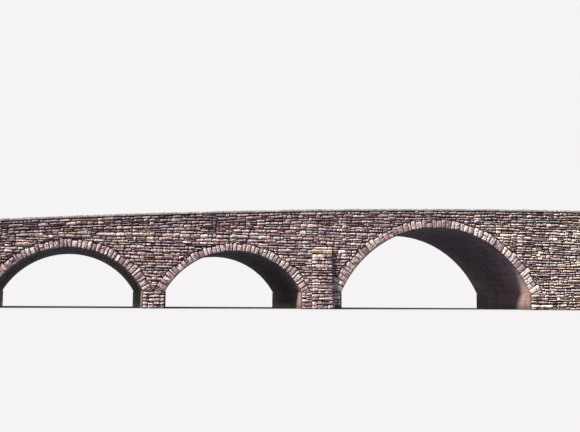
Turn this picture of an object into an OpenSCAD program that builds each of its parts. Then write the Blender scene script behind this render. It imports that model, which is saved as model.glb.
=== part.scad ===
// Stone arch bridge: two small arches and a wide main arch of concrete, faced
// with limestone, under a road that climbs from the left bank to the right.
// X runs along the bridge, -Y is the downstream face, Z is up from the water
// line. Lengths are in millimetres unless a comment says otherwise.

/* [Overall] */
// Width over the outer faces of the two stone walls
bridge_w = 7000; // [5600:100:9000]
// Length of each abutment, from its arch to the end of the bridge
abutment_l = 4200; // [3200:100:6000]
// Height of the springing line above the water
spring_z = 940; // [600:20:1500]

/* [Arches] */
// Clear span of each of the two small arches
small_span = 7700; // [6600:100:8600]
// Rise of each small arch above the springing line
small_rise = 2240; // [1800:20:2700]
// Clear span of the main arch
main_span = 12200; // [10800:100:13600]
// Rise of the main arch above the springing line
main_rise = 3910; // [3600:10:4600]
// Thickness of the concrete barrel of each small arch
small_barrel_t = 300; // [200:10:380]
// Thickness of the concrete barrel of the main arch
main_barrel_t = 350; // [260:10:460]

/* [Ring stones] */
// Depth of the ring stones at the crown of each small arch, from inner to outer end
small_ring_d = 420; // [320:10:500]
// Depth of the ring stones at the crown of the main arch
main_ring_d = 480; // [400:10:600]
// How much deeper the ring of a small arch is at the springing line than at its crown
small_ring_growth = 120; // [0:10:160]
// How much deeper the ring of the main arch is there
main_ring_growth = 200; // [0:10:260]
// Ring stones on each face of a small arch
small_ring_count = 41; // [27:2:55]
// Ring stones on each face of the main arch
main_ring_count = 51; // [35:2:65]
// Most that the outer end of a low ring stone stands out past the mean, or stops short
ring_ragged = 120; // [0:10:140]
// Most that a joint between ring stones is off its even place, in stone widths
ring_uneven = 0.2; // [0:0.05:0.3]
// Width of the raked joint between two ring stones
ring_joint_w = 14; // [8:1:24]
// Depth to which that joint is raked
ring_joint_d = 35; // [15:5:70]

/* [Piers and walls] */
// Width of the slim pier between the two small arches
slim_pier_w = 1200; // [1100:50:1800]
// Width of the broad pier beside the main arch
broad_pier_w = 2350; // [2000:50:3200]
// Thickness of the stone walls, the ring stones and the parapets
wall_t = 400; // [300:10:600]
// Concrete lip that shows below the ring stones and beside the pier walls
lip_t = 20; // [10:5:60]
// How far that lip stays behind the face of the stones
lip_setback = 40; // [10:5:80]
// Ledge that each concrete base has at the springing line
ledge_w = 40; // [0:5:80]
// Thickness of the wall that closes the fill at each end
end_wall_t = 500; // [300:50:900]

/* [Pilasters] */
// Width of the pilaster on each face of the broad pier
pilaster_w = 1100; // [800:20:1400]
// Height of the pilaster up to its cap
pilaster_h = 3280; // [2600:10:3400]
// How far the pilaster stands out of the wall at the water line
pilaster_foot_d = 270; // [210:10:500]
// How far it stands out under its cap
pilaster_head_d = 90; // [50:10:200]
// Thickness of the cap at its front edge
cap_t = 60; // [40:10:200]
// Rise of the weathered top of the cap, from its edge to the wall
cap_slope_h = 50; // [30:10:200]
// How far the cap stands out past the front of the pilaster
cap_overhang = 75; // [20:5:120]
// How far the cap stands out past the sides of the pilaster
cap_side_overhang = 20; // [10:5:90]

/* [Road and parapets] */
// Fill between the barrel of the main arch and the road slab, at the crown
crown_fill_t = 20; // [10:5:300]
// Thickness of the road slab
road_t = 100; // [60:10:200]
// Height of the parapet wall above the road
parapet_h = 560; // [450:10:1000]
// Thickness of the coping stones
coping_t = 130; // [80:10:200]
// How far the coping stands out past the wall
coping_overhang = 75; // [20:5:120]
// Grade of the road over the main arch, in percent
road_grade = 3.2; // [0:0.1:4]
// Radius of the vertical curve of the road, in metres
road_curve_r = 520; // [400:20:2000]

/* [Hidden] */
$fn = 720;

// Mortar gap kept between two faces that meet in a curve or in steps
bed_gap = 0.5;
// Angle by which the shape of the outermost stones runs on below the springing
skewback = 8;
// Overshoot of a cutting solid
past = 50;
// Share of the raggedness of a ring that is left at its crown
crown_ragged = 0.35;
// Spacing of the points that the road line is drawn through
road_step = 2000;

// Places along the bridge, from its left end to its right end
total_l = 2 * abutment_l + 2 * small_span + slim_pier_w + broad_pier_w + main_span;
end_x = total_l / 2;
left_x0 = -end_x + abutment_l;
left_x1 = left_x0 + small_span;
middle_x0 = left_x1 + slim_pier_w;
middle_x1 = middle_x0 + small_span;
main_x0 = middle_x1 + broad_pier_w;
main_x1 = main_x0 + main_span;
left_x = (left_x0 + left_x1) / 2;
middle_x = (middle_x0 + middle_x1) / 2;
main_x = (main_x0 + main_x1) / 2;
slim_pier_x = (left_x1 + middle_x0) / 2;
broad_pier_x = (middle_x1 + main_x0) / 2;

// The walls and their copings meet above the crown of each arch
bay_x = [-end_x, left_x, middle_x, main_x, end_x];

// Places across the bridge
face_y = bridge_w / 2;
core_y = face_y - wall_t;
lip_y = face_y - lip_setback;

// One row for each arch: first jamb, span, rise, barrel, ring depth, ring stones, the
// width that its ring may take up behind each jamb, and the growth of its ring
arches = [
    [left_x0, small_span, small_rise, small_barrel_t,
        small_ring_d, small_ring_count, slim_pier_w / 2, small_ring_growth],
    [middle_x0, small_span, small_rise, small_barrel_t,
        small_ring_d, small_ring_count, slim_pier_w / 2, small_ring_growth],
    [main_x0, main_span, main_rise, main_barrel_t,
        main_ring_d, main_ring_count, broad_pier_w / 2, main_ring_growth]
];
function arch_x(a) = a[0] + a[1] / 2;
function arch_r(a) = (pow(a[1] / 2, 2) + pow(a[2], 2)) / (2 * a[2]);
function arch_z(a) = spring_z + a[2] - arch_r(a);
function ring_inner_r(a) = arch_r(a) + lip_t + bed_gap;
// No ring stone reaches past this radius
function ring_limit_r(a) = arch_r(a) + lip_t + a[4] + a[7] + ring_ragged;
// Half of the angle that the ring spans, at its inner radius
function ring_half_angle(a) = acos((spring_z - arch_z(a)) / ring_inner_r(a));
// Ring stones are numbered from the left, and so are the edges between them. Sines
// of squares scatter the joints and the outer ends.
function ring_edge_angle(a, i) =
    let (off = i % a[5] == 0 ? 0 : ring_uneven * sin(97 * i * i))
    ring_half_angle(a) * (2 * (i + off) / a[5] - 1);
function ring_stone_reach(a, i) =
    let (low = pow(2 * (i + 0.5) / a[5] - 1, 2))
    arch_r(a) + lip_t + a[4] + a[7] * low
    + ring_ragged * (crown_ragged + (1 - crown_ragged) * low) * sin(137 * i * i);

// The road line is a chain of straight pieces through points on the vertical curve
crown_road_z = spring_z + main_rise + main_barrel_t + crown_fill_t + road_t;
function curve_z(x) = crown_road_z + road_grade / 100 * (x - main_x)
    - pow(x - main_x, 2) / (2000 * road_curve_r);
function road_z(x) =
    let (x0 = road_step * floor(x / road_step), share = (x - x0) / road_step)
    curve_z(x0) * (1 - share) + curve_z(x0 + road_step) * share;
function road_points(x0, x1) = [
    x0,
    for (i = [ceil(x0 / road_step) : floor(x1 / road_step)])
        if (i * road_step > x0 + 1 && i * road_step < x1 - 1) i * road_step,
    x1
];

// A flat shape drawn in X and Z, from y0 to y1
module across(y0, y1) {
    translate([0, y1, 0]) rotate([90, 0, 0]) linear_extrude(y1 - y0) children();
}

// A flat shape drawn in Y and Z, from x0 to x1
module along(x0, x1) {
    translate([x0, 0, 0]) rotate([90, 0, 90]) linear_extrude(x1 - x0) children();
}

// A strip between two heights above the road line
module road_strip(x0, x1, low, high) {
    xs = road_points(x0, x1);
    polygon(concat(
        [for (x = xs) [x, road_z(x) + low]],
        [for (i = [len(xs) - 1 : -1 : 0]) [xs[i], road_z(xs[i]) + high]]
    ));
}

// The area from a level line up to a height above the road line
module under_road(x0, x1, z0, high) {
    xs = road_points(x0, x1);
    polygon(concat(
        [[x0, z0], [x1, z0]],
        [for (i = [len(xs) - 1 : -1 : 0]) [xs[i], road_z(xs[i]) + high]]
    ));
}

// A drum around the axis of an arch
module drum(a, r, y0, y1) {
    translate([arch_x(a), y0, arch_z(a)]) rotate([-90, 0, 0]) cylinder(r = r, h = y1 - y0);
}

// The part of a drum above the springing line, up to a width w behind each jamb
module vault_space(a, r, w, y0, y1) {
    intersection() {
        drum(a, r, y0, y1);
        translate([a[0] - w, y0 - past, spring_z]) cube([a[1] + 2 * w, y1 - y0 + 2 * past, r]);
    }
}

// The shape of an arch with its ring stones, whose flat outer ends step in and
// out, above the springing line. The gap goes round the outer ends.
module ring_outline(a, gap) {
    intersection() {
        translate([arch_x(a), arch_z(a)]) polygon([
            for (i = [0 : a[5] - 1])
                let (
                    r = ring_stone_reach(a, i) + gap,
                    lo = ring_edge_angle(a, i) - (i == 0 ? skewback : 0),
                    hi = ring_edge_angle(a, i + 1) + (i == a[5] - 1 ? skewback : 0)
                )
                for (t = [lo, hi]) [r * sin(t), r * cos(t)]
        ]);
        translate([a[0] - a[6], spring_z]) square([a[1] + 2 * a[6], 2 * ring_limit_r(a)]);
    }
}

module front_or_back(side) {
    if (side == "front") children();
    else mirror([0, 1, 0]) children();
}

// A concrete base from the water line to the springing line, between jambs x0
// and x1. Thin cheeks at its open sides run out beside the stone walls.
module base(x0, x1, open_left, open_right) {
    left = x0 - (open_left ? ledge_w : 0);
    right = x1 + (open_right ? ledge_w : 0);
    cheek_l = ledge_w + lip_t;
    translate([left, -core_y, 0]) cube([right - left, 2 * core_y, spring_z]);
    if (open_left) translate([left, -lip_y, 0]) cube([cheek_l, 2 * lip_y, spring_z]);
    if (open_right) translate([right - cheek_l, -lip_y, 0]) cube([cheek_l, 2 * lip_y, spring_z]);
}

module pier(x0, x1) {
    color("tan") base(x0, x1, true, true);
}

// An abutment is a base with a wall behind it that closes the fill
module abutment_left() {
    color("tan") union() {
        base(-end_x, left_x0, false, true);
        across(-core_y, core_y) under_road(-end_x, -end_x + end_wall_t, 0, -road_t);
    }
}

module abutment_right() {
    color("tan") union() {
        base(main_x1, end_x, true, false);
        across(-core_y, core_y) under_road(end_x - end_wall_t, end_x, 0, -road_t);
    }
}

// The barrel vault, with upright heels as thick as itself. Its lip reaches out
// under the ring stones on both faces.
module barrel(a) {
    color("tan") difference() {
        union() {
            vault_space(a, arch_r(a) + a[3], a[3], -core_y, core_y);
            vault_space(a, arch_r(a) + lip_t, lip_t, -lip_y, lip_y);
        }
        drum(a, arch_r(a), -face_y, face_y);
    }
}

// The ring stones on one face, fused behind their raked joints
module ring(a, side) {
    joint_l = ring_limit_r(a) - ring_inner_r(a) + 2 * past;
    front_or_back(side) color("rosybrown") difference() {
        across(-face_y, -core_y) ring_outline(a, 0);
        drum(a, ring_inner_r(a), -face_y - past, -core_y + past);
        for (i = [1 : a[5] - 1])
            translate([arch_x(a), 0, arch_z(a)])
                rotate([0, ring_edge_angle(a, i), 0])
                    translate([-ring_joint_w / 2, -face_y - past, ring_inner_r(a) - past])
                        cube([ring_joint_w, past + ring_joint_d, joint_l]);
    }
}

// The hole that an arch and its ring stones leave in a stone wall
module arch_gap(a) {
    across(-face_y - past, -core_y + past) ring_outline(a, bed_gap);
    translate([a[0] - lip_t, -face_y - past, -past])
        cube([a[1] + 2 * lip_t, wall_t + 2 * past, spring_z + 2 * past]);
}

// One bay of a stone wall, from the water line to the top of the parapet
module wall(bay, side) {
    front_or_back(side) color("rosybrown") difference() {
        across(-face_y, -core_y) under_road(bay_x[bay], bay_x[bay + 1], 0, parapet_h);
        for (a = arches) arch_gap(a);
    }
}

// One bay of the coping, which also stands out past the ends of the bridge
module coping(bay, side) {
    x0 = bay_x[bay] - (bay == 0 ? coping_overhang : 0);
    x1 = bay_x[bay + 1] + (bay == 3 ? coping_overhang : 0);
    front_or_back(side) color("mistyrose")
        across(-face_y - coping_overhang, -core_y + coping_overhang)
            road_strip(x0, x1, parapet_h, parapet_h + coping_t);
}

// The pilaster leans back to the wall on its way up
module pilaster(side) {
    front_or_back(side) color("rosybrown")
        along(broad_pier_x - pilaster_w / 2, broad_pier_x + pilaster_w / 2) polygon([
            [-face_y, 0],
            [-face_y, pilaster_h],
            [-face_y - pilaster_head_d, pilaster_h],
            [-face_y - pilaster_foot_d, 0]
        ]);
}

module pilaster_cap(side) {
    half_w = pilaster_w / 2 + cap_side_overhang;
    edge_y = -face_y - pilaster_head_d - cap_overhang;
    front_or_back(side) color("mistyrose")
        along(broad_pier_x - half_w, broad_pier_x + half_w) polygon([
            [-face_y, pilaster_h],
            [-face_y, pilaster_h + cap_t + cap_slope_h],
            [edge_y, pilaster_h + cap_t],
            [edge_y, pilaster_h]
        ]);
}

// Rubble and earth between the walls, from the springing line to the road slab
module fill() {
    color("peru") difference() {
        across(-core_y, core_y)
            under_road(-end_x + end_wall_t, end_x - end_wall_t, spring_z, -road_t);
        for (a = arches) vault_space(a, arch_r(a) + a[3] + bed_gap, a[3], -core_y - past, core_y + past);
    }
}

module road_slab() {
    color("dimgray") across(-core_y, core_y) road_strip(-end_x, end_x, -road_t, 0);
}

abutment_left();
pier(left_x1, middle_x0);  // pier_slim
pier(middle_x1, main_x0);  // pier_broad
abutment_right();
barrel(arches[0]);  // barrel_left
barrel(arches[1]);  // barrel_middle
barrel(arches[2]);  // barrel_main
ring(arches[0], "front");  // ring_left_front
ring(arches[1], "front");  // ring_middle_front
ring(arches[2], "front");  // ring_main_front
ring(arches[0], "back");  // ring_left_back
ring(arches[1], "back");  // ring_middle_back
ring(arches[2], "back");  // ring_main_back
wall(0, "front");  // wall_left_front
wall(1, "front");  // wall_slim_pier_front
wall(2, "front");  // wall_broad_pier_front
wall(3, "front");  // wall_right_front
wall(0, "back");  // wall_left_back
wall(1, "back");  // wall_slim_pier_back
wall(2, "back");  // wall_broad_pier_back
wall(3, "back");  // wall_right_back
coping(0, "front");  // coping_left_front
coping(1, "front");  // coping_slim_pier_front
coping(2, "front");  // coping_broad_pier_front
coping(3, "front");  // coping_right_front
coping(0, "back");  // coping_left_back
coping(1, "back");  // coping_slim_pier_back
coping(2, "back");  // coping_broad_pier_back
coping(3, "back");  // coping_right_back
pilaster("front");  // pilaster_front
pilaster("back");  // pilaster_back
pilaster_cap("front");  // pilaster_cap_front
pilaster_cap("back");  // pilaster_cap_back
fill();
road_slab();
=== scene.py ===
"""Stone arch bridge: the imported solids, dressed with rough stones, slabs and weathered concrete.

Lengths are in metres and angles in degrees, unless a comment says otherwise. The front is the
face that the photograph shows, towards -Y."""

import bisect
import math

import bpy
import numpy as np
from mathutils import Matrix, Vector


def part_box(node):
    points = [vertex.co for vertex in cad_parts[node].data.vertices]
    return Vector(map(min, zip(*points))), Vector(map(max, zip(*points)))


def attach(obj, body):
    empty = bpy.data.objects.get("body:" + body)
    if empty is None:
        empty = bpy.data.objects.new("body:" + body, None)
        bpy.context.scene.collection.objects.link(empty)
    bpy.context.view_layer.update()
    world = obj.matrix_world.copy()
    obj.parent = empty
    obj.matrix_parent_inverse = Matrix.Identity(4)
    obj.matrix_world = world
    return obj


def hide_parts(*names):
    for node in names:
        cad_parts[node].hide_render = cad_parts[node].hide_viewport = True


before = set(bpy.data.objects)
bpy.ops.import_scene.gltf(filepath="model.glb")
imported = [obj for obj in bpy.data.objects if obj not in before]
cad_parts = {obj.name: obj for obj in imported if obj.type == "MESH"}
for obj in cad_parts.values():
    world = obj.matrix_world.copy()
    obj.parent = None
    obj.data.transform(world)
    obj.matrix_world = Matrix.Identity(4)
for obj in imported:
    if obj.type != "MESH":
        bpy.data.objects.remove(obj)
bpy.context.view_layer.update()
random = np.random.default_rng(1605)

# The camera, from the bridge's lines in the photograph. Lens and sensor are in millimetres
CAMERA_AT = (-11.525, -48.48, 0.65)
CAMERA_YAW = 14.73
CAMERA_PITCH = 5.67
CAMERA_ROLL = 0.46
CAMERA_LENS = 50.93
CAMERA_SENSOR = 36
CAMERA_REACH = 600

# Sky and floor look paler than the light that they throw on the bridge
SUN_AZIMUTH = 70
SUN_HEIGHT = 46
SUN_DISC = 7
SUN_STRENGTH = 8.2
SUN_COLOUR = (1.0, 0.91, 0.85)
SKY_STRENGTH = 0.38
SKY_LIGHT = (0.74, 0.86, 1.0)
SKY_SEEN = (0.92, 0.90, 0.91)
FLOOR_LIGHT = (0.046, 0.064, 0.112)
FLOOR_SEEN = (0.426, 0.442, 0.461)
FLOOR_SIZE = 1000
FLOOR_Z = -0.002

# Places that the solids give
SLIM_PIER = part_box("pier_slim")
BROAD_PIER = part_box("pier_broad")
SPRING = SLIM_PIER[1][2]
END_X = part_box("road_slab")[1][0]
(_, CORE_Y, _), (_, FACE_Y, _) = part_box("wall_left_back")
CROWN_X = (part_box("barrel_main")[0][0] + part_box("barrel_main")[1][0]) / 2
(PILASTER_X0, _, _), (PILASTER_X1, _, PILASTER_TOP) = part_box("pilaster_front")

# Arches: the same driving sizes as the solids
SMALL_ARCH = {"span": 7.700, "rise": 2.240, "ring_depth": 0.420, "ring_growth": 0.120, "stones": 41}
MAIN_ARCH = {"span": 12.200, "rise": 3.910, "ring_depth": 0.480, "ring_growth": 0.200, "stones": 51}
LEDGE = 0.040
LIP = 0.020
RAGGED = 0.120
CROWN_RAGGED = 0.35
UNEVEN = 0.2
# Sines of a stone's number squared scatter a ring's joints and outer ends
JOINT_SCATTER = 97
END_SCATTER = 137
# Rounds after which a radius and the angle that it is taken at agree
ROUNDS = 4
# A ragged ring counts as wide as its widest part this near in height
NEARBY = 0.03

# Pilaster and its cap. It leans back from its foot to its head
CAP_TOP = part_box("pilaster_cap_front")[1][2]
CAP_OVERHANG = 0.075
CAP_T = 0.06
PILASTER_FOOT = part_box("pilaster_back")[1][1] - FACE_Y
PILASTER_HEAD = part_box("pilaster_cap_back")[1][1] - FACE_Y - CAP_OVERHANG

# The road is a vertical curve over the wide arch
CROWN_ROAD = 5.320
GRADE = 0.032
CURVE_R = 520
PARAPET_H = 0.56

# Coping. Single slabs mustn't pass the overhang of the solids, 0.075
COPING_T = 0.13
COPING_OVERHANG = 0.060
# How far the upper arrises are worn back
COPING_WEAR = 0.024
# Depth of the mortar under the slabs
COPING_BED = 0.036

# Joints. Those between two courses are wider than those between neighbours
JOINT = 0.019
BED_JOINT = 0.038
RING_JOINT = 0.024
PILASTER_JOINT = 0.040
PILASTER_BED = 0.082
# How far a stone's beds are off its course's, as a share of its height: the most in the
# pilaster, and the spread in the walls
PILASTER_STEP = 0.14
BED_STEP = 0.12

# To the right of the crown, over this distance, the wall comes to have wider joints, more
# uneven beds and lighter stones
RIGHT_RAMP = 4
RIGHT_JOINT = 0.036
RIGHT_BED_JOINT = 0.064
RIGHT_STEP = 0.5
RIGHT_TONE = 0.50

# Stones
STONE_SHORTEST, STONE_MEAN, STONE_LONGEST = 0.14, 0.38, 1.05
LONGEST_ON_RING = 0.30
CHAMFER = 0.020
# Spread of the corners of stones in walls and rings
OFF_SQUARE, OFF_SQUARE_RING = 0.0035, 0.003
# Least height of a stone in its course, of its face, and least width
THIN = 0.05
THINNEST = 0.034
NARROW = 0.05
# Gap between a barrel and its ring
RING_DROP = 0.008
# How far stones stand out of their mortar: mean, spread, least and most
WALL_PROUD = (0.062, 0.016, 0.030, 0.095)
INSIDE_PROUD = (0.030, 0.008, 0.012, 0.048)
RING_PROUD = (0.050, 0.010, 0.028, 0.078)

# Courses, and the waves of their beds: height, and radians a metre. The highest courses
# follow the road
COURSE_LOW, COURSE_HIGH = 0.135, 0.222
PARAPET_COURSES = 4
PARAPET_ZONE = 0.72
BED_SWING = 0.014
PARAPET_SWING = 0.012
BED_WAVES = (1.3, 0.41, 4.1)
PARAPET_WAVES = (2.1, 3.3, 0.9)
# A level course ends where less than this of it is left under the sloping ones
SLIVER = 0.06
SHORTEST_RUN = 0.08
# A run's end leans along a ring that moves less than this across the course
STEEP = 0.30
TINY = 1e-4

# Which way each face looks along Y
OUT = {"front": -1, "back": 1}


class Arch:
    """One arch, its ring of stones and the outline that the ring leaves in the wall."""

    def __init__(self, name, jamb, span, rise, ring_depth, ring_growth, stones):
        self.name = name
        self.x = jamb + span / 2
        self.half_span = span / 2
        self.radius = ((span / 2) ** 2 + rise**2) / (2 * rise)
        self.z = SPRING + rise - self.radius
        self.inner = self.radius + LIP
        self.ring_depth = ring_depth
        self.ring_growth = ring_growth
        self.stones = stones
        self.half_angle = math.acos((SPRING - self.z) / self.inner)
        self.edges = [self.edge(i) for i in range(stones + 1)]

    def edge(self, i):
        """Angle from the crown, in radians, of the joint before stone i."""
        off = 0 if i in (0, self.stones) else UNEVEN * math.sin(math.radians(JOINT_SCATTER * i * i))
        return self.half_angle * (2 * (i + off) / self.stones - 1)

    def reach(self, i):
        """Radius of the outer end of stone i."""
        low = (2 * (i + 0.5) / self.stones - 1) ** 2
        ragged = RAGGED * (CROWN_RAGGED + (1 - CROWN_RAGGED) * low)
        scatter = math.sin(math.radians(END_SCATTER * i * i))
        return self.inner + (self.ring_depth + self.ring_growth * low + ragged * scatter)

    def reach_at(self, angle):
        i = bisect.bisect(self.edges, angle) - 1
        return self.reach(min(max(i, 0), self.stones - 1))

    def top(self, x):
        """Height of the ring's outline at x, or -1 beside the arch."""
        dx = x - self.x
        rise = self.inner
        for _ in range(ROUNDS):
            reach = self.reach_at(math.atan2(dx, rise))
            if abs(dx) >= reach:
                return -1.0
            rise = math.sqrt(reach**2 - dx**2)
        return self.z + rise

    def half_width(self, z, side):
        """Distance from the centre line to the ring's outline near height z, or 0 above it."""
        if z <= SPRING:
            return self.half_span + LIP
        widest = 0.0
        for dz in (z - self.z - NEARBY, z - self.z, z - self.z + NEARBY):
            width = self.half_span
            for _ in range(ROUNDS):
                reach = self.reach_at(math.atan2(side * width, dz))
                width = math.sqrt(max(reach**2 - dz**2, 0))
            widest = max(widest, width)
        return widest


ARCHES = [
    Arch("left", SLIM_PIER[0][0] + LEDGE - SMALL_ARCH["span"], **SMALL_ARCH),
    Arch("middle", SLIM_PIER[1][0] - LEDGE, **SMALL_ARCH),
    Arch("main", BROAD_PIER[1][0] - LEDGE, **MAIN_ARCH),
]
# Bays of wall and coping, and where each ends
BAYS = [
    ("left", ARCHES[0].x),
    ("slim_pier", ARCHES[1].x),
    ("broad_pier", ARCHES[2].x),
    ("right", END_X + COPING_OVERHANG),
]


def road(x):
    return CROWN_ROAD + GRADE * (x - CROWN_X) - (x - CROWN_X) ** 2 / (2 * CURVE_R)


def wall_top(x):
    return road(x) + PARAPET_H


def ring_top(x):
    return max(arch.top(x) for arch in ARCHES)


def bay_of(x):
    return next(name for name, limit in BAYS if x < limit)


def rightness(x):
    """0 up to the crown of the wide arch, and from there up to 1 at the right end."""
    return np.clip((x - CROWN_X) / RIGHT_RAMP, 0, 1)


# Node helpers

# Nearly all of a noise lies in this range
MIDDLE = (0.3, 0.7)


def new_material(name):
    material = bpy.data.materials.new(name)
    material.use_nodes = True
    tree = material.node_tree
    shader = next(n for n in tree.nodes if n.type == "BSDF_PRINCIPLED")
    return material, tree, shader


def feed(tree, socket, value):
    """Puts a number, a vector, a colour or the value of another node's socket into a socket."""
    if isinstance(value, bpy.types.NodeSocket):
        tree.links.new(value, socket)
    elif isinstance(value, tuple):
        socket.default_value[:3] = value
    else:
        socket.default_value = value


def add(tree, kind, **values):
    """A node with its properties set, and its inputs, whose names start with a capital."""
    node = tree.nodes.new(f"ShaderNode{kind}")
    for key, value in values.items():
        if key[0].isupper():
            feed(tree, node.inputs[key.replace("_", " ")], value)
        else:
            setattr(node, key, value)
    return node


def place(tree, stretch=(1, 1, 1)):
    """Coordinates in metres, stretched."""
    where = add(tree, "TexCoord").outputs["Object"]
    return add(tree, "Mapping", Vector=where, Scale=stretch).outputs["Vector"]


def axes_of(tree, vector):
    """The x, y and z of a vector."""
    split = add(tree, "SeparateXYZ", Vector=vector)
    return (split.outputs[k] for k in "XYZ")


def noise(tree, vector, scale, detail=3, roughness=0.55):
    node = add(tree, "TexNoise", Vector=vector, Scale=scale, Detail=detail, Roughness=roughness)
    return node.outputs["Fac"]


def remap(tree, value, source, target):
    """A value taken from the source range to the target range, and held inside that."""
    limits = dict(zip(("From_Min", "From_Max", "To_Min", "To_Max"), (*source, *target)))
    return add(tree, "MapRange", Value=value, **limits).outputs["Result"]


def maths(tree, operation, *values):
    node = add(tree, "Math", operation=operation)
    for socket, value in zip(node.inputs, values):
        feed(tree, socket, value)
    return node.outputs["Value"]


def vary(tree, tone, pattern, source, target):
    """A tone times a pattern that is taken from the source range to the target range."""
    return maths(tree, "MULTIPLY", tone, remap(tree, pattern, source, target))


def mix(tree, factor, a, b, blend="MIX"):
    node = add(tree, "Mix", data_type="RGBA", blend_type=blend)
    for index, value in ((0, factor), (6, a), (7, b)):
        feed(tree, node.inputs[index], value)
    return node.outputs[2]


def multiply(tree, colour, factor):
    return mix(tree, 1.0, colour, factor, "MULTIPLY")


def ramp(tree, value, stops):
    node = add(tree, "ValToRGB", Fac=value)
    elements = node.color_ramp.elements
    while len(elements) < len(stops):
        elements.new(0.5)
    for element, (position, colour) in zip(elements, stops):
        element.position = position
        element.color = (*colour, 1)
    return node.outputs["Color"]


def dark_to_light(tree, pattern, dark, light):
    return ramp(tree, pattern, list(zip(MIDDLE, (dark, light))))


def surface(tree, shader, colour, roughness, bumps):
    """Colour, roughness and bumps, one on another, from (height socket, distance) pairs."""
    feed(tree, shader.inputs["Base Color"], colour)
    feed(tree, shader.inputs["Roughness"], roughness)
    below = {}
    for height, distance in bumps:
        node = add(tree, "Bump", Distance=distance, Height=height, **below)
        below = {"Normal": node.outputs["Normal"]}
    feed(tree, shader.inputs["Normal"], below["Normal"])


# Materials

LIMESTONE = [
    (0.00, (0.446, 0.322, 0.330)),
    (0.15, (0.561, 0.405, 0.412)),
    (0.30, (0.708, 0.535, 0.450)),
    (0.45, (0.591, 0.445, 0.455)),
    (0.60, (0.552, 0.440, 0.425)),
    (0.72, (0.775, 0.600, 0.495)),
    (0.86, (0.840, 0.680, 0.580)),
    (1.00, (0.700, 0.520, 0.515)),
]
RING_STONE = [
    (0.00, (0.410, 0.276, 0.276)),
    (0.30, (0.572, 0.404, 0.384)),
    (0.60, (0.648, 0.470, 0.446)),
    (1.00, (0.735, 0.600, 0.540)),
]
COPING_STONE = [
    (0.00, (0.400, 0.360, 0.340)),
    (0.50, (0.465, 0.420, 0.395)),
    (1.00, (0.520, 0.472, 0.440)),
]
# Colour of grime, which on the end stones is also painted shade
GRIME_AND_SHADE = (0.092, 0.060, 0.070)
# Darker patches of stone are redder, lighter ones nearer to cream
DARK_TINT = (1.10, 0.94, 1.03)
LIGHT_TINT = (0.91, 1.05, 0.98)


def stone_material(name, palette, dark=0.50, light=1.34):
    """Each stone's hue, tone and grime are in its colour attribute; on the end stones the grime is
    partly painted shade. The rest is grain.
    """
    material, tree, shader = new_material(name)
    attribute = add(tree, "Attribute", attribute_name="stone")
    split = add(tree, "SeparateColor", Color=attribute.outputs["Color"])
    own_hue, own_tone, own_grime_and_shade = (split.outputs[k] for k in ("Red", "Green", "Blue"))
    where = place(tree)
    blotch = noise(tree, where, scale=7.5, detail=4)
    grain = noise(tree, where, scale=38.0, detail=5, roughness=0.7)
    mottle = noise(tree, where, scale=13.0, detail=3, roughness=0.6)
    pits = noise(tree, where, scale=16.0, detail=6, roughness=0.65)
    streak = noise(tree, place(tree, (1.6, 1.6, 0.35)), scale=1.4, detail=4, roughness=0.6)
    hue = maths(tree, "ADD", own_hue, remap(tree, blotch, MIDDLE, (-0.10, 0.10)))
    tone = remap(tree, own_tone, (0, 1), (dark, light))
    tone = vary(tree, tone, grain, (0.25, 0.75), (0.72, 1.22))
    tone = vary(tree, tone, blotch, MIDDLE, (0.60, 1.42))
    tone = vary(tree, tone, mottle, MIDDLE, (0.58, 1.42))
    colour = multiply(tree, ramp(tree, hue, palette), tone)
    tint = mix(tree, remap(tree, tone, (0.4, 1.4), (0, 1)), DARK_TINT, LIGHT_TINT)
    colour = multiply(tree, colour, tint)
    # Grime, which on the end stones is also painted shade
    grime = vary(tree, own_grime_and_shade, streak, (0.32, 0.62), (0.35, 1.0))
    colour = mix(tree, grime, colour, GRIME_AND_SHADE)
    surface(tree, shader, colour, 0.92, [(pits, 0.030), (grain, 0.008)])
    return material


# Bed mortar darkened nearly to black: its own colour with the painted shade of the joints on it
BED_MORTAR_AND_SHADE = {"dark": (0.022, 0.009, 0.013), "light": (0.062, 0.030, 0.035)}
RING_MORTAR = {"dark": (0.140, 0.096, 0.096), "light": (0.256, 0.184, 0.178)}


def mortar_material(name, dark, light):
    material, tree, shader = new_material(name)
    where = place(tree)
    patches = noise(tree, where, scale=4.0, detail=4)
    grit = noise(tree, where, scale=60.0, detail=4, roughness=0.7)
    tone = remap(tree, grit, MIDDLE, (0.75, 1.2))
    colour = multiply(tree, dark_to_light(tree, patches, dark, light), tone)
    surface(tree, shader, colour, 0.95, [(grit, 0.006)])
    return material


CONCRETE = [
    (0.28, (0.260, 0.174, 0.153)),
    (0.50, (0.350, 0.230, 0.196)),
    (0.74, (0.445, 0.301, 0.251)),
]
# Tone of each barrel, painted light on the wide arch's barrel and painted shade on the small ones, and
# the share of it that is left inside the arch, which is painted shade
BARREL_LIGHT_AND_SHADE = {"left": 0.64, "middle": 0.64, "main": 1.80}
BARREL_INSIDE_SHADE = 0.74
# Boards, and the share of a board by which each row is shifted
BOARD_W = 0.19
BOARD_L = 3.6
BOARD_SHIFT = 0.37
# Where the inside of an arch becomes its mouth, across the bridge, and an end wall, along it. The
# painted shade and light inside the arches fade out between these
MOUTH = (1.4, 3.0)
END_WALL = (END_X - 1.0, END_X - 0.5)
# Painted shade under the crown of a barrel: its colour, the most of it, and angles in radians between
# which it fades
CROWN_SHADE = (0.056, 0.054, 0.078)
CROWN_SHADE_MOST = 0.66
CROWN_SHADE_FADE = (0.2, 0.95)
STAIN = (0.075, 0.062, 0.060)
DAMP = (0.060, 0.055, 0.045)
DAMP_FADE = (0.10, 0.42)
# Painted shadow on the edge of a barrel that shows under its ring, where the ring's stones would shade
# it
LIP_SHADOW = (0.040, 0.032, 0.032)
LIP_EDGE = (FACE_Y - 0.050, FACE_Y - 0.045)


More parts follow.
